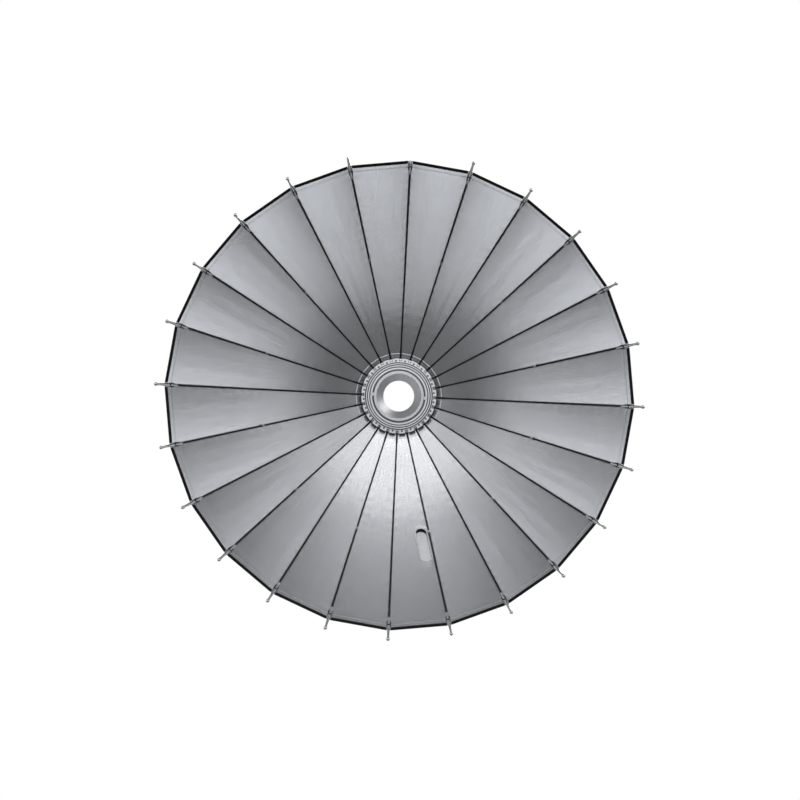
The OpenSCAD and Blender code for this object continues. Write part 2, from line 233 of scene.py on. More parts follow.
def fabric_normals(k, v, s):
    """Unit normals of that face, pointing out of the bowl."""
    dv, ds = 0.002, 0.0003
    lo, hi = np.clip(v - dv, -1, 1), np.clip(v + dv, -1, 1)
    across = fabric_points(k, hi, s) - fabric_points(k, lo, s)
    edge = np.abs(v) > 1 - dv
    turn = np.where(v > 0, HALF, -HALF)
    square = np.stack([np.cos(turn), np.zeros_like(turn), -np.sin(turn)], -1)
    across = np.where(edge[..., None], square, across)
    along = fabric_points(k, v, s + ds) - fabric_points(k, v, s - ds)
    n = np.cross(along, across)
    n /= np.linalg.norm(n, axis=-1, keepdims=True)
    return n * np.where(n[..., 1:2] < 0, -1, 1)


# ---- mesh helpers ----

def turned(k):
    """The turn that takes rib 1's plane to rib k's."""
    return Matrix.Rotation(k * STEP, 4, "Y")


def add_object(name, mesh, materials, matrix=None):
    obj = bpy.data.objects.new(name, mesh)
    bpy.context.scene.collection.objects.link(obj)
    if not mesh.materials:
        for material in materials:
            mesh.materials.append(material)
    if matrix is not None:
        obj.matrix_world = matrix
    return obj


def mesh_from(name, verts, faces, slots, uv, normals):
    """A mesh from plain lists. uv and normals hold one entry per face corner."""
    mesh = bpy.data.meshes.new(name)
    mesh.from_pydata([tuple(map(float, p)) for p in verts], [], faces)
    mesh.polygons.foreach_set("material_index", np.asarray(slots, np.int32))
    mesh.polygons.foreach_set("use_smooth", np.full(len(faces), True))
    layer = mesh.uv_layers.new(name="UVMap")
    layer.data.foreach_set("uv", np.asarray(uv, np.float32).ravel())
    mesh.update()
    mesh.normals_split_custom_set([tuple(map(float, n)) for n in normals])
    return mesh


CREASE = math.radians(40)


class Parts:
    """Closed shells gathered into one mesh."""

    def __init__(self):
        self.verts, self.faces, self.slots, self.uv, self.normals = [], [], [], [], []

    def add(self, verts, faces, slot=0, uv=None, normals=None):
        base = len(self.verts)
        self.verts.extend(map(tuple, verts))
        self.faces.extend([tuple(base + i for i in f) for f in faces])
        self.slots.extend([slot] * len(faces) if np.isscalar(slot) else slot)
        corners = sum(len(f) for f in faces)
        self.uv.extend(uv if uv is not None else [(0.0, 0.0)] * corners)
        self.normals.extend(normals if normals is not None else corner_normals(verts, faces))

    def mesh(self, name):
        return mesh_from(name, self.verts, self.faces, self.slots, self.uv, self.normals)


def corner_normals(verts, faces):
    """A normal for each face corner, smooth over edges that turn less than the crease angle."""
    verts = np.asarray(verts, float)
    face_n, at = [], {}
    for i, f in enumerate(faces):
        p = verts[list(f)]
        n = np.zeros(3)
        for a, b in zip(p, np.roll(p, -1, axis=0)):
            n += np.cross(a, b)
        area = np.linalg.norm(n)
        face_n.append(n / area if area > 1e-18 else np.array([0.0, 0.0, 1.0]))
        for j in f:
            at.setdefault(j, []).append((i, area))
    limit = math.cos(CREASE)
    out = []
    for i, f in enumerate(faces):
        for j in f:
            n = sum(face_n[m] * a for m, a in at[j] if face_n[m] @ face_n[i] > limit)
            size = np.linalg.norm(n) if np.ndim(n) else 0
            out.append(n / size if size > 1e-18 else face_n[i])
    return out


def lathe(profile, sides, origin, axis):
    """Verts and faces of a closed profile (distance along the axis, radius) turned about it."""
    axis = Vector(axis).normalized()
    across = axis.orthogonal().normalized()
    third = axis.cross(across)
    origin = Vector(origin)
    verts, faces = [], []
    for t, r in profile:
        for i in range(sides):
            a = 2 * math.pi * i / sides
            verts.append(origin + axis * t + (across * math.cos(a) + third * math.sin(a)) * r)
    rings = len(profile)
    closed = profile[0][1] > 1e-6
    for j in range(rings if closed else rings - 1):
        for i in range(sides):
            a, b = j * sides + i, j * sides + (i + 1) % sides
            c, d = ((j + 1) % rings) * sides + (i + 1) % sides, ((j + 1) % rings) * sides + i
            faces.append((a, b, c, d))
    return (verts, faces) if closed else close_poles(verts, faces, sides, rings)


def close_poles(verts, faces, sides, rings):
    """Joins the first and last ring of a turned shape, which have no radius, into single points."""
    last = (rings - 1) * sides
    keep = {i: i for i in range(len(verts))}
    for i in range(sides):
        keep[i] = 0
        keep[last + i] = last
    new_faces = []
    for f in faces:
        g = []
        for i in f:
            if keep[i] not in g:
                g.append(keep[i])
        if len(g) > 2:
            new_faces.append(tuple(g))
    used = sorted({i for f in new_faces for i in f})
    index = {i: n for n, i in enumerate(used)}
    return [verts[i] for i in used], [tuple(index[i] for i in f) for f in new_faces]


def tube(path, radius, sides, closed=False, up=None):
    """Verts and faces of a tube along a path of points, with one radius or one for each point."""
    path = [Vector(p) for p in path]
    count = len(path)
    verts, faces = [], []
    normal = Vector(up) if up is not None else None
    for i, p in enumerate(path):
        before = path[i - 1] if (i or closed) else path[i]
        after = path[(i + 1) % count] if (i < count - 1 or closed) else path[i]
        ahead = (after - before).normalized()
        normal = ahead.orthogonal() if normal is None else normal
        normal = (normal - ahead * normal.dot(ahead)).normalized()
        third = ahead.cross(normal)
        for j in range(sides):
            a = 2 * math.pi * j / sides
            r = radius[i] if hasattr(radius, "__len__") else radius
            verts.append(p + normal * (math.cos(a) * r) + third * (math.sin(a) * r))
    for i in range(count if closed else count - 1):
        for j in range(sides):
            a, b = i * sides + j, i * sides + (j + 1) % sides
            n = (i + 1) % count
            faces.append((a, b, n * sides + (j + 1) % sides, n * sides + j))
    if not closed:
        faces.append(tuple(range(sides))[::-1])
        faces.append(tuple((count - 1) * sides + j for j in range(sides)))
    return verts, faces


def open_edges(faces):
    """Edges that belong to one face only, in that face's order."""
    edges = {(a, b): True for f in faces for a, b in zip(f, f[1:] + f[:1])}
    return [(a, b) for a, b in edges if (b, a) not in edges]


def thin_shell(parts, k, v, s, faces):
    """Adds a closed cloth shell over the faces between points (v, s) of the fabric round rib k."""
    inner = fabric_points(k, v, s)
    n = fabric_normals(k, v, s)
    outer = inner + n * FABRIC_T
    ridge = 0.0007 * np.exp(-(v * half_width(s) / 0.0035) ** 4)
    outer = outer + n * ridge[:, None]
    count = len(v)
    w = half_width(s)
    corner_uv, corner_n, all_faces, slots = [], [], [], []
    for f in faces:
        mid = sum(v[i] for i in f) / len(f)
        side = 1 if mid >= 0 else -1
        gore = k if side > 0 else (k - 1) % RIBS
        uv = [((v[i] - side) * w[i] + 0.37 * gore, s[i]) for i in f]
        p = inner[list(f[:3])]
        facing = np.cross(p[1] - p[0], p[2] - p[0]) @ n[f[0]]
        f_in = f if facing < 0 else f[::-1]
        uv_in = uv if facing < 0 else uv[::-1]
        all_faces.append(tuple(f_in))
        corner_uv.extend(uv_in)
        corner_n.extend(-n[i] for i in f_in)
        slots.append(0)
        all_faces.append(tuple(i + count for i in f_in[::-1]))
        corner_uv.extend(uv_in[::-1])
        corner_n.extend(n[i] for i in f_in[::-1])
        slots.append(1)
    verts = np.concatenate([inner, outer])
    for a, b in open_edges(all_faces[0::2]):
        quad = (b, a, a + count, b + count)
        p = verts[list(quad)]
        wall = np.cross(p[1] - p[0], p[2] - p[0])
        size = np.linalg.norm(wall)
        wall = wall / size if size > 1e-15 else n[a]
        all_faces.append(quad)
        corner_uv.extend([(v[i % count] * w[i % count] + 0.37 * k, s[i % count]) for i in quad])
        corner_n.extend([wall] * 4)
        slots.append(1)
    parts.add(verts, all_faces, slots, corner_uv, corner_n)


def stitch(parts, a, b, radius, slot, out):
    """One stitch of thread from a to b, lying on the cloth: a six-sided bead with pointed ends."""
    a, b, out = Vector(a), Vector(b), Vector(out)
    ahead = (b - a).normalized()
    third = ahead.cross(out).normalized()
    rings = [(0.0, 0.25), (0.25, 1.0), (0.75, 1.0), (1.0, 0.25)]
    verts, faces = [], []
    for t, share in rings:
        p = a.lerp(b, t)
        for i in range(6):
            angle = math.pi / 3 * i
            verts.append(p + (out * math.cos(angle) + third * math.sin(angle)) * radius * share)
    for j in range(len(rings) - 1):
        for i in range(6):
            n = (i + 1) % 6
            faces.append((j * 6 + i, (j + 1) * 6 + i, (j + 1) * 6 + n, j * 6 + n))
    faces.append(tuple(range(6)))
    faces.append(tuple(18 + i for i in range(6))[::-1])
    parts.add(verts, faces, slot)


# ---- materials ----

class Nodes:
    """Short helper for building a node tree."""

    def __init__(self, name):
        self.material = bpy.data.materials.new(name)
        self.material.use_nodes = True
        self.tree = self.material.node_tree
        self.shader = self.tree.nodes["Principled BSDF"]

    def add(self, kind, **values):
        node = self.tree.nodes.new(kind)
        for key, value in values.items():
            if hasattr(node, key):
                setattr(node, key, value)
            else:
                node.inputs[key.replace("_", " ")].default_value = value
        return node

    def link(self, a, b):
        self.tree.links.new(a, b)
        return b.node

    def math(self, operation, a, b=None, c=None):
        node = self.add("ShaderNodeMath", operation=operation)
        for i, value in enumerate((a, b, c)):
            if value is None:
                continue
            if hasattr(value, "links"):
                self.link(value, node.inputs[i])
            else:
                node.inputs[i].default_value = value
        return node.outputs[0]

    def noise(self, vector, scale, detail=3.0, roughness=0.5):
        node = self.add("ShaderNodeTexNoise")
        node.inputs["Scale"].default_value = scale
        node.inputs["Detail"].default_value = detail
        node.inputs["Roughness"].default_value = roughness
        self.link(vector, node.inputs["Vector"])
        return node.outputs["Fac"]

    def stretch(self, vector, scale):
        node = self.add("ShaderNodeMapping")
        node.inputs["Scale"].default_value = scale
        self.link(vector, node.inputs["Vector"])
        return node.outputs["Vector"]

    def ramp(self, value, stops):
        node = self.add("ShaderNodeValToRGB")
        ramp = node.color_ramp
        while len(ramp.elements) < len(stops):
            ramp.elements.new(0.5)
        for element, (place, color) in zip(ramp.elements, stops):
            element.position = place
            element.color = (*color, 1.0)
        self.link(value, node.inputs["Fac"])
        return node.outputs["Color"]

    def darker(self, color, where, amount):
        """The colour, darkened by that share where the value is 1."""
        node = self.add("ShaderNodeHueSaturation")
        self.link(color, node.inputs["Color"])
        self.link(self.math("SUBTRACT", 1.0, self.math("MULTIPLY", where, amount)), node.inputs["Value"])
        return node.outputs["Color"]

    def spread(self, value, lo, hi):
        """A value from 0 to 1 taken to lo to hi."""
        node = self.add("ShaderNodeMapRange")
        node.inputs["To Min"].default_value = lo
        node.inputs["To Max"].default_value = hi
        self.link(value, node.inputs["Value"])
        return node.outputs["Result"]

    def bump(self, height, strength, distance, normal=None):
        node = self.add("ShaderNodeBump")
        node.inputs["Strength"].default_value = strength
        node.inputs["Distance"].default_value = distance
        self.link(height, node.inputs["Height"])
        if normal is not None:
            self.link(normal, node.inputs["Normal"])
        return node.outputs["Normal"]

    def place(self, kind="Object"):
        return self.add("ShaderNodeTexCoord").outputs[kind]

    def finish(self, color=None, roughness=None, normal=None, **fixed):
        for key, value in fixed.items():
            self.shader.inputs[key.replace("_", " ")].default_value = value
        for name, value in (("Base Color", color), ("Roughness", roughness), ("Normal", normal)):
            if value is None:
                continue
            if hasattr(value, "links"):
                self.link(value, self.shader.inputs[name])
            else:
                self.shader.inputs[name].default_value = value
        return self.material


def silver_cloth():
    """Metal-coated weave: a fine mottled grain, faint lines along each gore and soft creases."""
    n = Nodes("silver_cloth")
    uv = n.place("UV")
    lines = n.noise(n.stretch(uv, (700, 24, 1)), 1.0, 3.0, 0.6)
    weave = n.noise(n.stretch(uv, (900, 900, 1)), 1.0, 3.0, 0.7)
    mottle = n.noise(n.stretch(uv, (420, 420, 1)), 1.0, 2.0, 0.6)
    broad = n.noise(n.stretch(uv, (60, 12, 1)), 1.0, 2.0)
    cloud = n.noise(n.stretch(uv, (22, 22, 1)), 1.0, 3.0)
    grain = n.math("ADD", n.math("MULTIPLY", lines, 0.3), n.math("MULTIPLY", mottle, 0.7))
    color = n.ramp(grain, [(0.36, (0.62, 0.635, 0.66)), (0.50, (0.80, 0.81, 0.83)),
                           (0.64, (0.96, 0.965, 0.98))])
    rough = n.math("ADD", n.spread(cloud, 0.215, 0.255), n.spread(weave, -0.02, 0.02))
    normal = n.bump(weave, 0.22, 0.00025)
    normal = n.bump(mottle, 0.45, 0.00040, normal)
    normal = n.bump(lines, 0.14, 0.00025, normal)
    normal = n.bump(broad, 0.03, 0.0012, normal)
    return n.finish(color, rough, normal, Metallic=0.92)


def port_lining():
    """Pale grey crumpled lining of the port, with painted shade in the crumples' hollows."""
    n = Nodes("port_lining")
    place = n.place("Object")
    crumple = n.noise(n.stretch(place, (160, 160, 260)), 1.0, 3.0, 0.6)
    weave = n.noise(place, 1500.0, 2.0)
    # Painted shade: the colour is darker in the crumples' hollows and paler on their tops.
    color = n.ramp(crumple, [(0.35, (0.86, 0.87, 0.88)), (0.65, (0.98, 0.98, 0.99))])
    normal = n.bump(crumple, 0.5, 0.0012, n.bump(weave, 0.3, 0.0002))
    return n.finish(color, n.spread(weave, 0.42, 0.55), normal, Metallic=0.25, Sheen_Weight=0.1)


def black_backing():
    """The fabric's black back: a plain tight weave with a little sheen."""
    n = Nodes("black_backing")
    uv = n.place("UV")
    wave_a = n.add("ShaderNodeTexWave", bands_direction="X")
    wave_b = n.add("ShaderNodeTexWave", bands_direction="Y")
    for wave in (wave_a, wave_b):
        wave.inputs["Scale"].default_value = 420.0
        wave.inputs["Distortion"].default_value = 0.6
        n.link(uv, wave.inputs["Vector"])
    weave = n.math("MULTIPLY", wave_a.outputs["Fac"], wave_b.outputs["Fac"])
    cloud = n.noise(n.stretch(uv, (30, 30, 1)), 1.0, 4.0)
    color = n.ramp(cloud, [(0.3, (0.012, 0.012, 0.013)), (0.7, (0.024, 0.024, 0.026))])
    rough = n.spread(cloud, 0.55, 0.72)
    normal = n.bump(weave, 0.35, 0.0003)
    return n.finish(color, rough, normal, Sheen_Weight=0.35, Sheen_Roughness=0.4)


def woven_tape(name, dark, light, pitch, sheen):
    """Grosgrain tape: ribs across it, a little fuzz."""
    n = Nodes(name)
    place = n.place("Object")
    wave = n.add("ShaderNodeTexWave", bands_direction="DIAGONAL")
    wave.inputs["Scale"].default_value = 1 / pitch / 20
    wave.inputs["Distortion"].default_value = 1.2
    wave.inputs["Detail Scale"].default_value = 3.0
    n.link(place, wave.inputs["Vector"])
    fuzz = n.noise(place, 1800.0, 3.0)
    color = n.ramp(fuzz, [(0.3, dark), (0.7, light)])
    rough = n.spread(fuzz, 0.6, 0.85)
    normal = n.bump(wave.outputs["Fac"], 0.5, 0.0003)
    normal = n.bump(fuzz, 0.3, 0.0002, normal)
    return n.finish(color, rough, normal, Sheen_Weight=sheen, Sheen_Roughness=0.5,
                    Specular_IOR_Level=0.15)


def thread(name, color):
    n = Nodes(name)
    twist = n.noise(n.place("Object"), 3000.0, 2.0)
    dark = tuple(0.7 * c for c in color)
    return n.finish(n.ramp(twist, [(0.35, dark), (0.65, color)]), n.spread(twist, 0.4, 0.6),
                    n.bump(twist, 0.4, 0.0002), Sheen_Weight=0.2)


def rod_black():
    """Pultruded glass fibre with a satin black skin: long faint lines and light scuffs."""
    n = Nodes("rod_black")
    place = n.place("Object")
    fibre = n.noise(n.stretch(place, (3000, 60, 60)), 1.0, 2.0)
    scuff = n.noise(place, 260.0, 4.0, 0.65)
    color = n.ramp(scuff, [(0.45, (0.008, 0.008, 0.009)), (0.75, (0.022, 0.022, 0.024))])
    rough = n.spread(scuff, 0.16, 0.42)
    return n.finish(color, rough, n.bump(fibre, 0.15, 0.0001), Specular_IOR_Level=0.3)


def turned_metal(name, dark, light, rough_lo, rough_hi, pitch=0.00035, painted_shade_rings=()):
    """Metal turned on a lathe: fine rings round the axis, faint streaks and handling marks, and dark rings
    of painted shade at any radii given.
    """
    n = Nodes(name)
    place = n.place("Object")
    split = n.add("ShaderNodeSeparateXYZ")
    n.link(place, split.inputs[0])
    squares = [n.math("MULTIPLY", split.outputs[c], split.outputs[c]) for c in "XZ"]
    radius = n.math("SQRT", n.math("ADD", squares[0], squares[1]))
    rings_at = n.add("ShaderNodeCombineXYZ")
    n.link(radius, rings_at.inputs[0])
    n.link(split.outputs["Y"], rings_at.inputs[1])
    rings = n.noise(rings_at.outputs[0], 1 / pitch, 2.0, 0.6)
    marks = n.noise(place, 90.0, 5.0, 0.6)
    color = n.ramp(rings, [(0.25, dark), (0.75, light)])
    # Painted shade: the colour is darkened within each of these rings of radius.
    for middle, half in painted_shade_rings:
        color = n.darker(color, n.math("COMPARE", radius, middle, half), 0.85)
    rough = n.math("ADD", n.spread(marks, rough_lo, rough_hi), n.spread(rings, -0.04, 0.04))
    normal = n.bump(rings, 0.25, 0.0002)
    normal = n.bump(marks, 0.06, 0.0003, normal)
    return n.finish(color, rough, normal, Metallic=1.0)


def anodised_black():
    """Black anodised alloy: fine blasted grain, edges a little worn."""
    n = Nodes("anodised_black")
    place = n.place("Object")
    grain = n.noise(place, 2200.0, 2.0)
    marks = n.noise(place, 120.0, 5.0, 0.6)
    color = n.ramp(marks, [(0.35, (0.014, 0.014, 0.015)), (0.75, (0.034, 0.034, 0.036))])
    return n.finish(color, n.spread(marks, 0.32, 0.5), n.bump(grain, 0.2, 0.0001), Metallic=0.6)


def blackened_steel():
    """Oiled black screw heads: dark, with bright rubbed spots."""
    n = Nodes("blackened_steel")
    place = n.place("Object")
    rub = n.noise(place, 500.0, 4.0, 0.6)
    color = n.ramp(rub, [(0.4, (0.10, 0.10, 0.105)), (0.8, (0.24, 0.24, 0.245))])
    return n.finish(color, n.spread(rub, 0.25, 0.5), n.bump(rub, 0.1, 0.0001), Metallic=0.9)


def spring_steel():
    n = Nodes("spring_steel")
    drawn = n.noise(n.place("Object"), 1500.0, 3.0)
    color = n.ramp(drawn, [(0.3, (0.42, 0.42, 0.43)), (0.7, (0.6, 0.6, 0.61))])
    return n.finish(color, n.spread(drawn, 0.2, 0.35), n.bump(drawn, 0.1, 0.0001), Metallic=1.0)


def collar_rubber():
    """Moulded rubber grip with ribs round the collar's edge."""
    n = Nodes("collar_rubber")
    place = n.place("Object")
    split = n.add("ShaderNodeSeparateXYZ")
    n.link(place, split.inputs[0])
    angle = n.math("ARCTAN2", split.outputs["X"], split.outputs["Z"])
    ribs = n.math("SINE", n.math("MULTIPLY", angle, 90.0))
    grain = n.noise(place, 1600.0, 3.0)
    color = n.ramp(grain, [(0.3, (0.016, 0.016, 0.016)), (0.7, (0.03, 0.03, 0.03))])
    normal = n.bump(ribs, 0.6, 0.0006)
    return n.finish(color, n.spread(grain, 0.6, 0.8), n.bump(grain, 0.3, 0.0002, normal))


SILVER = silver_cloth()
BACKING = black_backing()
TAPE = woven_tape("black_tape", (0.005, 0.005, 0.006), (0.012, 0.012, 0.013), 0.0006, 0.04)
ELASTIC = woven_tape("black_elastic", (0.006, 0.006, 0.007), (0.020, 0.020, 0.022), 0.0004, 0.08)
THREAD = thread("silver_thread", (0.80, 0.81, 0.83))
LINING = port_lining()
ROD = rod_black()
FERRULE = turned_metal("ferrule_metal", (0.55, 0.55, 0.56), (0.78, 0.78, 0.79), 0.16, 0.30)
# Painted shade of the crown: dark rings painted where the grooves of its face and its outer wall lie in
# shade, as the middle radius and half the width of each
CROWN_PAINTED_SHADE_RINGS = ((0.0548, 0.0018), (0.0613, 0.0010), (0.0660, 0.0010), (0.0702, 0.0010), (0.0801, 0.0005))
CROWN = turned_metal("crown_alloy", (0.80, 0.80, 0.82), (0.97, 0.97, 0.98), 0.24, 0.36,
                     painted_shade_rings=CROWN_PAINTED_SHADE_RINGS)
RING = turned_metal("ring_alloy", (0.46, 0.47, 0.49), (0.68, 0.68, 0.70), 0.28, 0.40, 0.0005)
SLEEVE = turned_metal("sleeve_alloy", (0.66, 0.66, 0.68), (0.84, 0.84, 0.85), 0.46, 0.58)
LIP = turned_metal("lip_alloy", (0.66, 0.66, 0.67), (0.86, 0.86, 0.87), 0.20, 0.30)
BLACK = anodised_black()
SCREW = blackened_steel()
SPRING = spring_steel()
RUBBER = collar_rubber()


# ---- pieces ----

def rib_body(k):
    return "rib_%02d" % (k + 1)


def with_rib(obj, k, slot, *nodes):
    """The piece moves with rib k, and the CAD nodes named are hidden. slot is not used."""
    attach(obj, rib_body(k))
    if nodes:
        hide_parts(*nodes)
    return obj


def in_plane(r, y, x=0.0):
    """A point of rib 1's plane as x, y, z."""
    return Vector((x, y, r))


def make_rod():
    """The black rod, from the lever's socket to inside the ferrule, a little thicker towards the rim."""
    s = np.concatenate([np.linspace(0.0085, SOCKET, 4), np.linspace(SOCKET + 0.005, S_FERRULE, 78),
                        [S_FERRULE + 0.010, S_FERRULE + 0.020]])
    r, y, _ = rib_line(s)
    parts = Parts()
    radius = np.interp(s, (SOCKET, S_FERRULE), (ROD_HUB_R, ROD_R))
    verts, faces = tube([in_plane(a, b) for a, b in zip(r, y)], radius, 16, up=(1, 0, 0))
    parts.add(verts, faces)
    return parts.mesh("rod")


def make_ferrule(reach, ball):
    """Turned ferrule: a rolled collar, a groove, a long taper, and a ball where it has one."""
    tip_r = FERRULE_R - 0.0008 * reach / FERRULE_OUT
    bore = ROD_R + 0.00005
    end = FERRULE_IN + reach
    profile = [(0.0021, bore), (0.0006, bore), (0.0001, bore + 0.0002), (0.0, FERRULE_R - 0.0004),
               (0.0003, FERRULE_R - 0.0001), (0.0016, FERRULE_R), (0.0030, FERRULE_R - 0.00005),
               (0.0034, FERRULE_R - 0.0004), (0.0040, FERRULE_R - 0.0004), (0.0044, FERRULE_R - 0.0001),
               (0.0060, FERRULE_R), (FERRULE_IN - 0.004, FERRULE_R), (FERRULE_IN + 0.001, FERRULE_R)]
    if ball:
        neck = math.asin((tip_r - 0.0003) / BALL_R)
        profile += [(end - 0.0062, tip_r + 0.0001), (end - 0.0058, tip_r + 0.0005),
                    (end - 0.0046, tip_r + 0.0005), (end - 0.0042, tip_r - 0.0002)]
        for i in range(15):
            a = math.pi - neck - (math.pi - neck - 0.22) * i / 14
            profile.append((end + BALL_R * math.cos(a), BALL_R * math.sin(a)))
        profile.append((end + BALL_R * math.cos(0.22) - 0.0002, BALL_R * math.sin(0.22) * 0.5))
    else:
        profile += [(end - 0.0004, tip_r), (end - 0.0001, tip_r - 0.0001), (end, tip_r - 0.0004),
                    (end, 0.0008)]
        profile.append((end - 0.0008, 0.0006))
    profile.append((profile[-1][0] - 0.0001, 0.0003))
    profile.append((0.0030 + 0.019, 0.0003))
    profile.append((0.0030 + 0.018, bore))
    r, y, h = (float(a) for a in rib_line(S_FERRULE))
    axis = (0, -math.sin(h), math.cos(h))
    parts = Parts()
    verts, faces = lathe(profile, 28, in_plane(r, y), axis)
    parts.add(verts, faces)
    return parts.mesh("ferrule")


def outline_plate(points, half, bevel):
    """Verts and faces of a flat plate with bevelled edges, from its outline in rib 1's plane."""
    centre = sum((Vector(p) for p in points), Vector((0, 0))) / len(points)
    verts, faces = [], []
    layers = ((-half, bevel), (-half + bevel, 0), (half - bevel, 0), (half, bevel))
    for x, inset in layers:
        for i, p in enumerate(points):
            before, after = Vector(points[i - 1]), Vector(points[(i + 1) % len(points)])
            run = (after - before).normalized()
            side = Vector((run.y, -run.x))
            if side.dot(Vector(p) - centre) < 0 and len(points) < 5:
                side = -side
            q = Vector(p) - side * inset
            verts.append(in_plane(q.x, q.y, x))
    count = len(points)
    for j in range(len(layers) - 1):
        for i in range(count):
            n = (i + 1) % count
            faces.append((j * count + i, j * count + n, (j + 1) * count + n, (j + 1) * count + i))
    faces.append(tuple(range(count))[::-1])
    faces.append(tuple((len(layers) - 1) * count + i for i in range(count)))
    return verts, faces


def capsule_outline(a, b, radius):
    """Outline of two round ends joined by straight sides, in the plane of radius and level."""
    a, b = Vector(a), Vector(b)
    base = math.atan2((b - a).y, (b - a).x)
    steps = 10
    points = []
    for centre, start in ((a, base + math.pi / 2), (b, base - math.pi / 2)):
        for i in range(steps + 1):
            angle = start + math.pi * i / steps
            points.append((centre.x + radius * math.cos(angle), centre.y + radius * math.sin(angle)))
    return points


def make_lever():
    """Bell crank: pivot boss, arm with a round heel, and the round socket of the rod."""
    h = float(rib_line(0.0)[2])
    ahead = Vector((math.cos(h), -math.sin(h)))
    pin = Vector((PIN_R, PIN_Y))
    arm = 0.015
    heel = pin - arm * Vector((math.cos(FOLD / 2), math.sin(FOLD / 2)))
    parts = Parts()
    for outline, half in ((capsule_outline(heel, pin, 0.0026), 0.0026),
                          (capsule_outline(pin, pin, 0.0039), 0.0027)):
        verts, faces = outline_plate(outline, half, 0.0004)
        parts.add(verts, faces, 0)
    bore, wall = ROD_HUB_R + 0.00005, ROD_HUB_R + 0.0006
    profile = [(0.0085, bore), (0.0040, bore), (0.0036, 0.0010), (0.0036, 0.0002), (0.0, 0.0002),
               (0.0, wall - 0.0003), (0.0003, wall), (0.0060, wall), (SOCKET - 0.0006, bore + 0.0003),
               (SOCKET - 0.0002, bore + 0.0002), (SOCKET - 0.0005, bore)]
    verts, faces = lathe(profile[::-1], 20, in_plane(*pin), (0, ahead.y, ahead.x))
    parts.add(verts, faces, 1)
    return parts.mesh("lever")


def make_ribs():
    rod, lever = make_rod(), make_lever()
    tips = {0: make_ferrule(SHORT_OUT, False), RIBS - 1: make_ferrule(CUT_OUT, False)}
    balled = make_ferrule(FERRULE_OUT, True)
    for k in range(RIBS):
        name = rib_body(k)
        bar = add_object(name + "_rod", rod, [ROD], turned(k))
        with_rib(bar, k, "rib_black", name)
        crank = add_object(name + "_lever", lever, [LIP, BLACK], turned(k))
        with_rib(crank, k, "steel")
        tip = add_object(name + "_ferrule", tips.get(k, balled), [FERRULE], turned(k))
        with_rib(tip, k, "steel")


def squash_to_rib(obj, k, r_lo, r_hi):
    """Gives the piece its own copy of its mesh."""
    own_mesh(obj)


def columns():
    """Places across the fabric round a rib, closer together near the seam."""
    side = np.concatenate([[0, 0.02, 0.05, 0.09, 0.14, 0.20], np.linspace(0.27, 1, 12)])
    return np.concatenate([-side[:0:-1], side])


def band_rows(i):
    s0, s1 = BAND_S[i], BAND_S[i + 1]
    rows = list(np.linspace(s0, s1, max(4, int(round((s1 - s0) / 0.0045))) + 1))
    for edge in (S_HUB_HEM, S_RIM - RIM_HEM):
        if s0 < edge < s1:
            rows = [r for r in rows if abs(r - edge) > 0.0015 or r in (s0, s1)]
            rows += [edge - 0.0008, edge - 0.0003, edge + 0.0003, edge + 0.0008]
    return np.array(sorted(rows))


def grid(cols, rows):
    """Points and quads of a grid, cols across and rows along."""
    v, s = np.meshgrid(cols, rows)
    count = len(cols)
    faces = [(j * count + i, j * count + i + 1, (j + 1) * count + i + 1, (j + 1) * count + i)
             for j in range(len(rows) - 1) for i in range(count - 1)]
    return v.ravel(), s.ravel(), faces


def stadium(length, width, steps):
    """Outline of the port in x and s, counter-clockwise."""
    straight = length / 2 - width / 2
    points = []
    for end, start in ((1, 0.0), (-1, math.pi)):
        for i in range(steps + 1):
            angle = start + math.pi * i / steps
            points.append((PORT_OFF + width / 2 * math.cos(angle),
                           S_PORT + end * straight + width / 2 * math.sin(angle)))
    return points


def holed(v, s):
    """The grid with the port cut out of it, as points and triangles."""
    w = half_width(s)
    x = v * w
    away = stadium_distance(x, s, PORT_LEN, PORT_W)
    kept = away > 0.004
    rings = [stadium(PORT_LEN + 2 * g, PORT_W + 2 * g, 14) for g in (0.0, 0.0025)]
    outline = rings[0]
    cloth = [(float(a), float(b)) for a, b in zip(x[kept], s[kept])]
    points = [Vector(p) for p in outline + rings[1] + cloth]
    edges = [(i, (i + 1) % len(outline)) for i in range(len(outline))]
    found = delaunay_2d_cdt(points, edges, [], 0, 1e-7)
    px = np.array([p.x for p in found[0]])
    ps = np.array([p.y for p in found[0]])
    faces = []
    for f in found[2]:
        cx, cs = px[f].mean(), ps[f].mean()
        ax, a_s = px[f[1]] - px[f[0]], ps[f[1]] - ps[f[0]]
        bx, b_s = px[f[2]] - px[f[0]], ps[f[2]] - ps[f[0]]
        area = abs(ax * b_s - bx * a_s)
        if stadium_distance(cx, cs, PORT_LEN, PORT_W) > 0 and area > 1e-10:
            faces.append(tuple(f))
    return np.clip(px / half_width(ps), -1, 1), ps, faces


def hem_stitches(parts, k, s_line, pitch, radius):
    """A row of stitches across the fabric round rib k."""
    w = float(half_width(s_line))
    count = int(round(2 * w / pitch))
    for i in range(count):
        x0 = -w + (i + 0.14) * 2 * w / count
        x1 = -w + (i + 0.86) * 2 * w / count
        v = np.array([x0 / w, x1 / w])
        s = np.array([s_line, s_line])
        p = fabric_points(k, v, s)
        n = fabric_normals(k, v, s)
        sunk = -n * radius * 0.35
        stitch(parts, p[0] + sunk[0], p[1] + sunk[1], radius, 2, -n[0])


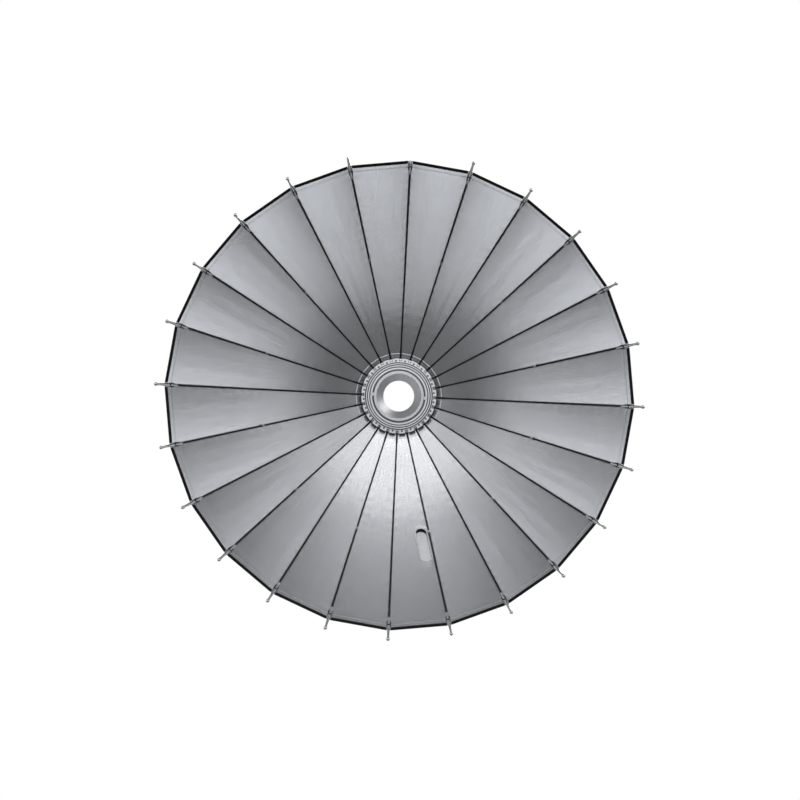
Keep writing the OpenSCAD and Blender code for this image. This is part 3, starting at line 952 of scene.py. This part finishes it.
def make_fabric():
    """The canopy: in each of 24 segments, the cloth on both sides of a rib, in bands that fold with it."""
    cols = columns()
    port_ribs = (PORT_RIB, PORT_RIB + 1)
    for k in range(RIBS):
        for i in range(len(BANDS) - 1):
            v, s, faces = grid(cols, band_rows(i))
            if k == PORT_RIB and BANDS[i] < PORT_R < BANDS[i + 1]:
                v, s, faces = holed(v, s)
            parts = Parts()
            thin_shell(parts, k, v, s, faces)
            if i == 0:
                hem_stitches(parts, k, S_HUB_HEM - 0.0012, 0.0030, 0.00028)
            if i == len(BANDS) - 2:
                hem_stitches(parts, k, S_RIM - RIM_HEM + 0.0022, 0.0030, 0.00022)
            mesh = parts.mesh("fabric")
            name = "fabric_%02d_%s" % (k + 1, "abcdef"[i])
            obj = add_object(name, mesh, [SILVER, BACKING, THREAD], turned(k))
            with_rib(obj, k, "silver_fabric", "gore_panels", *(["port_gore"] if k in port_ribs else []))
            squash_to_rib(obj, k, BANDS[i], BANDS[i + 1])


def make_binding():
    """Tape folded over the rim: two lengths beside each rib, with a gap at its ferrule."""
    s0, s1 = S_RIM - BINDING_W, S_RIM
    section = binding_section(s0, s1)
    for k in range(RIBS):
        parts = Parts()
        for side in (-1, 1):
            w = float(half_width(S_RIM))
            x = np.linspace(BINDING_GAP, w, 15) * side
            add_strip(parts, k, x, section, side)
        obj = add_object("binding_%02d" % (k + 1), parts.mesh("binding"), [TAPE], turned(k))
        with_rib(obj, k, "black_binding", "rim_binding")
        squash_to_rib(obj, k, BANDS[-2], BANDS[-1])


def binding_section(s0, s1):
    """Rounded outline of the folded tape, as distance along the cloth and height off its inner face."""
    half = BINDING_T / 2
    mid = FABRIC_T / 2
    points = []
    for i in range(9):
        a = -math.pi / 2 + math.pi * i / 8
        points.append((s1 - 0.0012 + 0.0012 * math.cos(a), mid + half * math.sin(a)))
    points.append((s0 + 0.0030, mid + half * 0.92))
    points.append((s0 + 0.0004, mid + half * 0.85))
    points.append((s0, mid + half * 0.6))
    points.append((s0, mid - half * 0.6))
    points.append((s0 + 0.0004, mid - half * 0.85))
    points.append((s0 + 0.0030, mid - half * 0.92))
    return points


def add_strip(parts, k, x, section, side):
    """One closed length of tape whose section follows the fabric's edge."""
    count = len(section)
    rings = []
    for i, place in enumerate(x):
        s = np.array([p[0] for p in section])
        v = np.clip(place / half_width(s), -1, 1)
        v = v if abs(place) < half_width(S_RIM) * 0.999 else np.full(count, float(side))
        base = fabric_points(k, v, np.minimum(s, S_RIM))
        n = fabric_normals(k, v, np.minimum(s, S_RIM - 0.001))
        base = base + n * hem_step(np.minimum(s, S_RIM))[:, None]
        pinch = 0.9 if i == 0 else 1.0
        height = np.array([p[1] for p in section])
        mid = FABRIC_T / 2
        rings.append(base + n * (mid + (height - mid) * pinch)[:, None])
    verts = [tuple(p) for ring in rings for p in ring]
    faces = []
    for j in range(len(rings) - 1):
        for i in range(count):
            n = (i + 1) % count
            faces.append((j * count + i, (j + 1) * count + i, (j + 1) * count + n, j * count + n))
    faces.append(tuple(range(count)))
    faces.append(tuple((len(rings) - 1) * count + i for i in range(count))[::-1])
    if side < 0:
        faces = [f[::-1] for f in faces]
    parts.add(verts, faces)


def make_back_hem():
    """Black webbing behind the cloth, round the hub."""
    for k in range(RIBS):
        s0, s1 = (s_at_radius(r) for r in BACK_HEM)
        v, s, faces = grid(np.linspace(-1, 1, 13), np.linspace(s0, s1, 4))
        inner = fabric_points(k, v, s)
        n = fabric_normals(k, v, s)
        count = len(v)
        low, high = inner + n * (FABRIC_T + 0.0001), inner + n * (FABRIC_T + 0.0009)
        verts = np.concatenate([low, high])
        p = low[list(faces[0][:3])]
        flip = np.cross(p[1] - p[0], p[2] - p[0]) @ n[0] > 0
        faces = [f[::-1] for f in faces] if flip else faces
        walls = [(b, a, a + count, b + count) for a, b in open_edges(faces)]
        parts = Parts()
        parts.add(verts, faces + [tuple(i + count for i in f[::-1]) for f in faces] + sorted(walls))
        obj = add_object("back_hem_%02d" % (k + 1), parts.mesh("back_hem"), [TAPE], turned(k))
        with_rib(obj, k, "silver_fabric", "inner_hem")
        squash_to_rib(obj, k, *BACK_HEM)


def make_loop():
    """Elastic cord round the ferrule: a long loop that holds the fabric's corner to the rib."""
    r, y, h = (float(a) for a in rib_line(S_RIM - 0.0175))
    ahead = Vector((0, -math.sin(h), math.cos(h)))
    out = Vector((0, math.cos(h), math.sin(h)))
    centre = in_plane(r, y)
    radius = 0.0006
    long_half, wide_half = 0.0078, FERRULE_R + radius + 0.0001
    path = []
    for i in range(48):
        a = 2 * math.pi * i / 48
        along = math.copysign(abs(math.cos(a)) ** 0.8, math.cos(a)) * long_half
        side = math.copysign(abs(math.sin(a)) ** 0.6, math.sin(a)) * wide_half
        over = -(FERRULE_R + radius) * smooth(math.cos(a), 0.55, 1.0)
        over += 0.0019 * smooth(-math.cos(a), 0.2, 1.0)
        path.append(centre + ahead * along + Vector((side, 0, 0)) + out * float(over))
    parts = Parts()
    verts, faces = tube(path, radius, 10, closed=True)
    parts.add(verts, faces)
    return parts.mesh("corner_loop")


def make_tie():
    """Bright clip that holds the seam to the rod: a strap round the rod and a domed, hollow rivet."""
    r, y, h = (float(a) for a in rib_line(S_TIE))
    ahead = Vector((0, -math.sin(h), math.cos(h)))
    out = Vector((0, math.cos(h), math.sin(h)))
    centre = in_plane(r, y)
    parts = Parts()
    strap = [(-0.0022, ROD_R + 0.0001), (-0.0022, ROD_R + 0.0006), (-0.0018, ROD_R + 0.0008),
             (0.0018, ROD_R + 0.0008), (0.0022, ROD_R + 0.0006), (0.0022, ROD_R + 0.0001)]
    verts, faces = lathe(strap, 24, centre, ahead)
    parts.add(verts, [f[::-1] for f in faces])
    top = centre - out * (ROD_R + 0.0006)
    rivet = [(0.0, 0.0010), (0.0, 0.0030), (0.0004, 0.0031), (0.0011, 0.0025), (0.0014, 0.0018),
             (0.0012, 0.0012), (0.0006, 0.0010)]
    verts, faces = lathe(rivet, 24, top, -out)
    parts.add(verts, [f[::-1] for f in faces])
    return parts.mesh("tie_clip")


def make_trim():
    loop, tie = make_loop(), make_tie()
    for k in range(RIBS):
        obj = add_object("corner_loop_%02d" % (k + 1), loop, [ELASTIC], turned(k))
        with_rib(obj, k, "black_elastic", "corner_loops")
        if k % TIE_EVERY == 1:
            obj = add_object("tie_clip_%02d" % (k + 1), tie, [FERRULE], turned(k))
            with_rib(obj, k, "steel", "fabric_ties")


def port_ring(grow, lift, lean=0.0, short=0.0):
    """The port's outline on the fabric, grown, lifted off it, moved sideways and short at the hub's end."""
    outline = stadium(PORT_LEN - short + 2 * grow, PORT_W + 2 * grow, 20)
    s = np.array([p[1] for p in outline]) + short / 2
    v = (np.array([p[0] for p in outline]) + lean) / half_width(s)
    p = fabric_points(PORT_RIB, v, s)
    share = np.clip((S_PORT + PORT_LEN / 2 - s) / PORT_LEN, 0, 1)[:, None]
    return p + fabric_normals(PORT_RIB, v, s) * (lift[0] + (lift[1] - lift[0]) * share)


def dish(parts, rings, thick, slot):
    """Adds a closed shallow dish of cloth through the rings, from its rim to its floor."""
    count, layers = len(rings[0]), len(rings)
    top = layers * count
    verts = np.concatenate(rings + [ring + np.array([0, thick, 0]) for ring in rings])
    faces = []
    for j in range(layers - 1):
        for i in range(count):
            a, b = j * count + i, j * count + (i + 1) % count
            faces.append((a, b, b + count, a + count))
            faces.append((a + top, a + count + top, b + count + top, b + top))
    for i in range(count):
        n = (i + 1) % count
        faces.append((n, i, i + top, n + top))
    floor = top - count
    faces.append(tuple(floor + i for i in range(count)))
    faces.append(tuple(floor + top + i for i in range(count))[::-1])
    parts.add(verts, faces, slot)


def make_port():
    """The cable port: a rolled edging, a black pocket behind it that stands as painted shade round the
    flap, and a silver flap inside the pocket.
    """
    lo, hi = next((a, b) for a, b in zip(BANDS, BANDS[1:]) if a < PORT_R < b)
    mid = FABRIC_T / 2
    parts = Parts()
    verts, faces = tube([Vector(p) for p in port_ring(0.0, (mid, mid))], 0.0012, 10, closed=True)
    parts.add(verts, faces)
    obj = add_object("port_edging", parts.mesh("port_edging"), [LINING], turned(PORT_RIB))
    with_rib(obj, PORT_RIB, "silver_fabric", "port_edging")
    squash_to_rib(obj, PORT_RIB, lo, hi)
    parts = Parts()
    back = FABRIC_T + 0.0002
    # The pocket is of the black backing so that it shows as the dark shade at the port's upper and right
    # edges: painted shade.
    dish(parts, [port_ring(0.0045, (back, back)), port_ring(0.0035, (0.0040, 0.0055)),
                 port_ring(-0.001, (0.0056, 0.0078)), port_ring(-0.006, (0.0060, 0.0082))], 0.0006, 1)
    lean, short = 0.0016, 0.0075
    layers = ((-0.0002, (0.0012, 0.0030)), (-0.0020, (0.0014, 0.0024)),
              (-0.0050, (0.0018, 0.0022)), (-0.0090, (0.0014, 0.0020)))
    dish(parts, [port_ring(grow, lift, lean, short) for grow, lift in layers], 0.0005, 0)
    obj = add_object("port_flap", parts.mesh("port_flap"), [LINING, BACKING], turned(PORT_RIB))
    with_rib(obj, PORT_RIB, "silver_fabric", "port_flap")
    squash_to_rib(obj, PORT_RIB, lo, hi)


def dress_hub():
    """Materials for the CAD nodes of the hub."""
    finishes = {
        "hub_front_ring": CROWN, "hub_rear_ring": BLACK, "hinge_pins": SPRING, "crown_screws": SCREW,
        "hub_sleeve": SLEEVE, "lip_ring": LIP, "rear_cover": BLACK, "cover_screws": SCREW,
        "fabric_clamp_ring": BLACK, "press_ring": RING, "pull_rods": SPRING, "pull_collar": RUBBER,
        "lock_button_left": LIP, "lock_button_right": LIP, "button_springs": SPRING,
    }
    for name, material in finishes.items():
        node = frame["nodes"][name]
        for slot in node.material_slots:
            slot.material = material
        if not node.material_slots:
            node.data.materials.append(material)


# ---- studio ----

# Soft lights of the studio, alike on the left and the right: elevation and azimuth from straight in
# front in degrees, how narrow the light is, and its brightness.
SOFTBOXES = (
    (20, 0, 16, 1.60),      # large box in front
    (45, 30, 16, 0.85),     # its upper corners
    (70, 0, 16, 0.95),      # ceiling
    (30, 60, 16, 0.25),     # upper walls
    (15, 95, 16, 2.50),     # side panels
    (-20, 95, 16, 0.45),    # their lower part
    (-50, 40, 5, 0.10),     # floor
)
AMBIENT = 0.065


def make_world():
    """White for the camera; for everything else a dim room with soft lights."""
    world = bpy.data.worlds.new("studio")
    bpy.context.scene.world = world
    world.use_nodes = True
    tree = world.node_tree
    tree.nodes.clear()
    add, link = tree.nodes.new, tree.links.new

    def math_node(operation, a, b=0.0, c=0.0):
        node = add("ShaderNodeMath")
        node.operation = operation
        for i, value in enumerate((a, b, c)):
            if hasattr(value, "links"):
                link(value, node.inputs[i])
            else:
                node.inputs[i].default_value = value
        return node.outputs[0]

    split = add("ShaderNodeSeparateXYZ")
    link(add("ShaderNodeTexCoord").outputs["Generated"], split.inputs[0])
    ray = add("ShaderNodeCombineXYZ")
    link(math_node("ABSOLUTE", split.outputs["X"]), ray.inputs[0])
    link(split.outputs["Y"], ray.inputs[1])
    link(split.outputs["Z"], ray.inputs[2])
    total = AMBIENT
    for elevation, azimuth, narrow, bright in SOFTBOXES:
        e, a = math.radians(elevation), math.radians(azimuth)
        dot = add("ShaderNodeVectorMath")
        dot.operation = "DOT_PRODUCT"
        link(ray.outputs[0], dot.inputs[0])
        dot.inputs[1].default_value = (math.sin(a) * math.cos(e), -math.cos(a) * math.cos(e), math.sin(e))
        power = math_node("MULTIPLY_ADD", dot.outputs["Value"], narrow, math.log(bright) - narrow)
        total = math_node("ADD", math_node("EXPONENT", power), total)
    light = add("ShaderNodeBackground")
    light.inputs["Color"].default_value = (0.975, 0.985, 1, 1)
    link(total, light.inputs["Strength"])
    plain = add("ShaderNodeBackground")
    plain.inputs["Color"].default_value = (1, 1, 1, 1)
    mix = add("ShaderNodeMixShader")
    link(add("ShaderNodeLightPath").outputs["Is Camera Ray"], mix.inputs["Fac"])
    link(light.outputs[0], mix.inputs[1])
    link(plain.outputs[0], mix.inputs[2])
    out = add("ShaderNodeOutputWorld")
    link(mix.outputs[0], out.inputs["Surface"])


def make_floor():
    """A plain pale floor well below the object."""
    n = Nodes("floor_felt")
    grain = n.noise(n.place("Object"), 60.0, 3.0)
    material = n.finish(n.ramp(grain, [(0.3, (0.60, 0.60, 0.59)), (0.7, (0.64, 0.64, 0.63))]),
                        n.spread(grain, 0.7, 0.8))
    verts, faces = lathe([(0, 0), (0, 1.08), (-0.02, 1.10), (-0.04, 1.08), (-0.04, 0)], 96,
                         (0, 0, -1.36), (0, 0, 1))
    parts = Parts()
    parts.add(verts, [f[::-1] for f in faces])
    floor = add_object("floor", parts.mesh("floor"), [material])


def make_lights():
    """One soft light from behind, for the views of the back."""
    data = bpy.data.lights.new("fill_back", "AREA")
    data.shape = "RECTANGLE"
    data.size, data.size_y = 1.6, 1.6
    data.energy = 60
    light = bpy.data.objects.new("fill_back", data)
    bpy.context.scene.collection.objects.link(light)
    light.location = (1.8, 2.2, 1.6)
    light.rotation_euler = (-light.location).to_track_quat("-Z", "Y").to_euler()


CAMERA_AT = (-0.010, -2.92, -0.009)
FIELD_OF_VIEW = math.radians(32.83)
CAMERA_ROLL = math.radians(2.7)
CAMERA_SHIFT = (0.0076, 0.0001)


def make_camera():
    """Almost straight in front of the open side, rolled so that the object leans clockwise."""
    data = bpy.data.cameras.new("camera")
    data.sensor_width = 36
    data.lens = data.sensor_width / (2 * math.tan(FIELD_OF_VIEW / 2))
    data.shift_x, data.shift_y = CAMERA_SHIFT
    camera = bpy.data.objects.new("camera", data)
    bpy.context.scene.collection.objects.link(camera)
    camera.matrix_world = (Matrix.Translation(CAMERA_AT) @ Matrix.Rotation(math.pi / 2, 4, "X")
                           @ Matrix.Rotation(CAMERA_ROLL, 4, "Z"))
    bpy.context.scene.camera = camera


make_camera()
make_world()
make_lights()
make_floor()
make_ribs()
make_fabric()
make_binding()
make_back_hem()
make_trim()
make_port()
dress_hub()
bpy.context.scene.view_settings.view_transform = "Standard"

bpy.context.view_layer.update()
